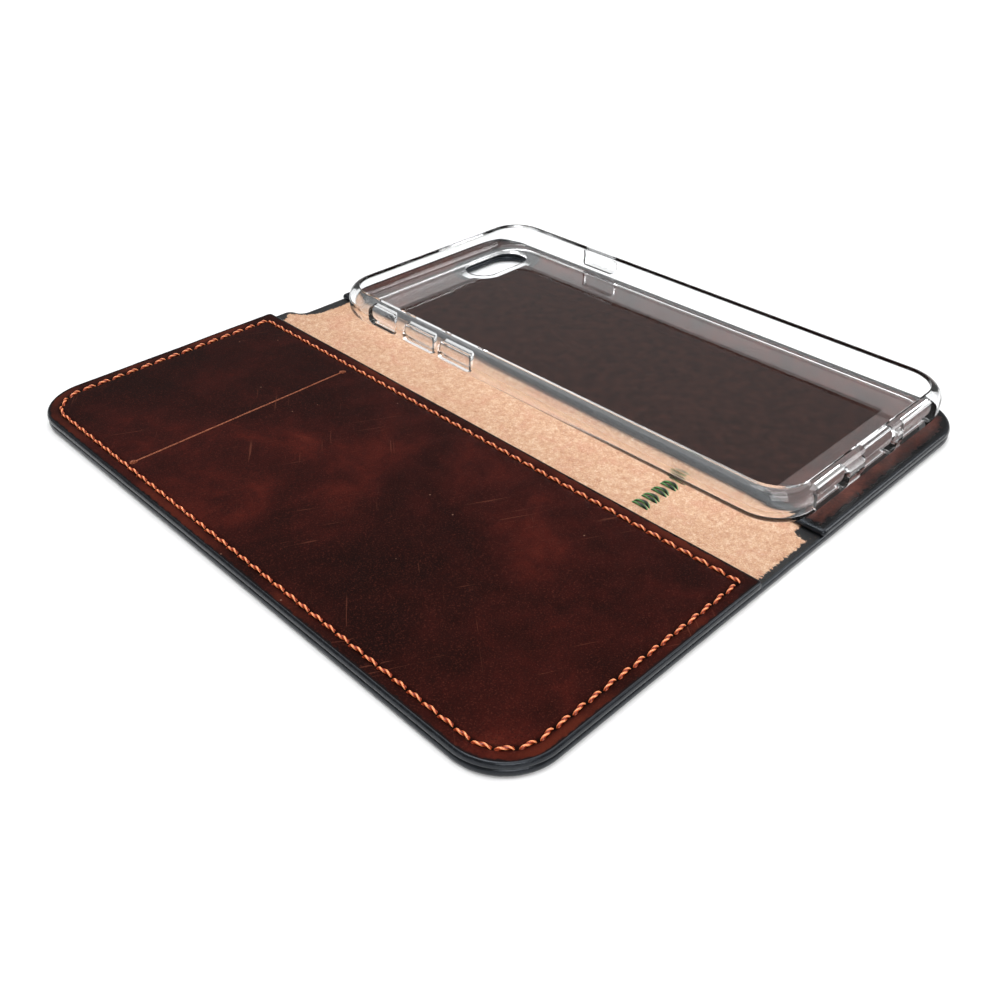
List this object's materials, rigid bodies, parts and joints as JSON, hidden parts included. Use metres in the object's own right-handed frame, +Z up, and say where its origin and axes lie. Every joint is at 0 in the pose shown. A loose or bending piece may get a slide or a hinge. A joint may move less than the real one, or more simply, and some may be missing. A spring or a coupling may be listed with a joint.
{
  "type": "phone case",
  "caption": "Open leather folio phone case with a stitched inner pocket panel, a flexible folding spine and a clear moulded shell that holds a phone.",
  "frame": {"origin": "middle of the open folio's footprint, on the surface that it lies on", "axes": "+X from the front cover to the back cover that holds the shell, +Y along the phone towards its top end, +Z up out of the phone's screen"},
  "size_m": [0.15, 0.156, 0.0114],
  "materials": {
    "hide_grain": "burnished, mottled dark brown grain side, satin, with black glossy edges",
    "lining_grain": "reddish brown grain side, satin",
    "hide_flesh": "bare tan flesh side, short fibres, matt",
    "copper_thread": "waxed twisted thread",
    "green_thread": "dark green waxed thread",
    "clear_tpu": "clear flexible moulded plastic, glossy",
    "adhesive_film": "thin double-sided film"
  },
  "bodies": {
    "back": {"back_cover": "hide_grain", "back_lining": "lining_grain", "mounting_film": "adhesive_film", "clear_shell": "clear_tpu", "spine_stitch_4": "green_thread"},
    "spine_3": {"spine_strip_3": "hide_flesh", "spine_stitch_3": "green_thread"},
    "spine_2": {"spine_strip_2": "hide_flesh", "spine_stitch_2": "green_thread"},
    "spine_1": {"spine_strip_1": "hide_flesh", "spine_stitch_1": "green_thread"},
    "front": {"front_cover": "hide_grain", "pocket_panel": "hide_grain", "pocket_seam_thread": "copper_thread"},
    "volume_up": {"volume_up_pad": "clear_tpu"},
    "volume_down": {"volume_down_pad": "clear_tpu"},
    "power": {"power_pad": "clear_tpu"}
  },
  "joints": [
    {"name": "cover_fold", "type": "hinge", "parent": "back", "child": "spine_2", "pos_m": [0.005, 0, 0.00284], "axis": [0, 1, 0], "range_deg": [0, 90]},
    {"name": "front_fold", "type": "hinge", "parent": "spine_2", "child": "front", "pos_m": [-0.005, 0, 0.00284], "axis": [0, 1, 0], "range_deg": [0, 90]},
    {"name": "back_strip_fold", "type": "hinge", "parent": "back", "child": "spine_3", "pos_m": [0.0075, 0, 0.0018], "axis": [0, 1, 0], "range_deg": [0, 45]},
    {"name": "front_strip_fold", "type": "hinge", "parent": "front", "child": "spine_1", "pos_m": [-0.0075, 0, 0.0018], "axis": [0, -1, 0], "range_deg": [0, 45]},
    {"name": "volume_up_press", "type": "slide", "parent": "back", "child": "volume_up", "axis": [1, 0, 0], "range_m": [0, 0.0004], "stiffness_N_per_m": 600},
    {"name": "volume_down_press", "type": "slide", "parent": "back", "child": "volume_down", "axis": [1, 0, 0], "range_m": [0, 0.0004], "stiffness_N_per_m": 600},
    {"name": "power_press", "type": "slide", "parent": "back", "child": "power", "axis": [-1, 0, 0], "range_m": [0, 0.0004], "stiffness_N_per_m": 600}
  ],
  "couplings": [
    {"joint": "front_fold", "follows": "cover_fold", "ratio": 1},
    {"joint": "back_strip_fold", "follows": "cover_fold", "ratio": 0.5},
    {"joint": "front_strip_fold", "follows": "cover_fold", "ratio": 0.5}
  ]
}
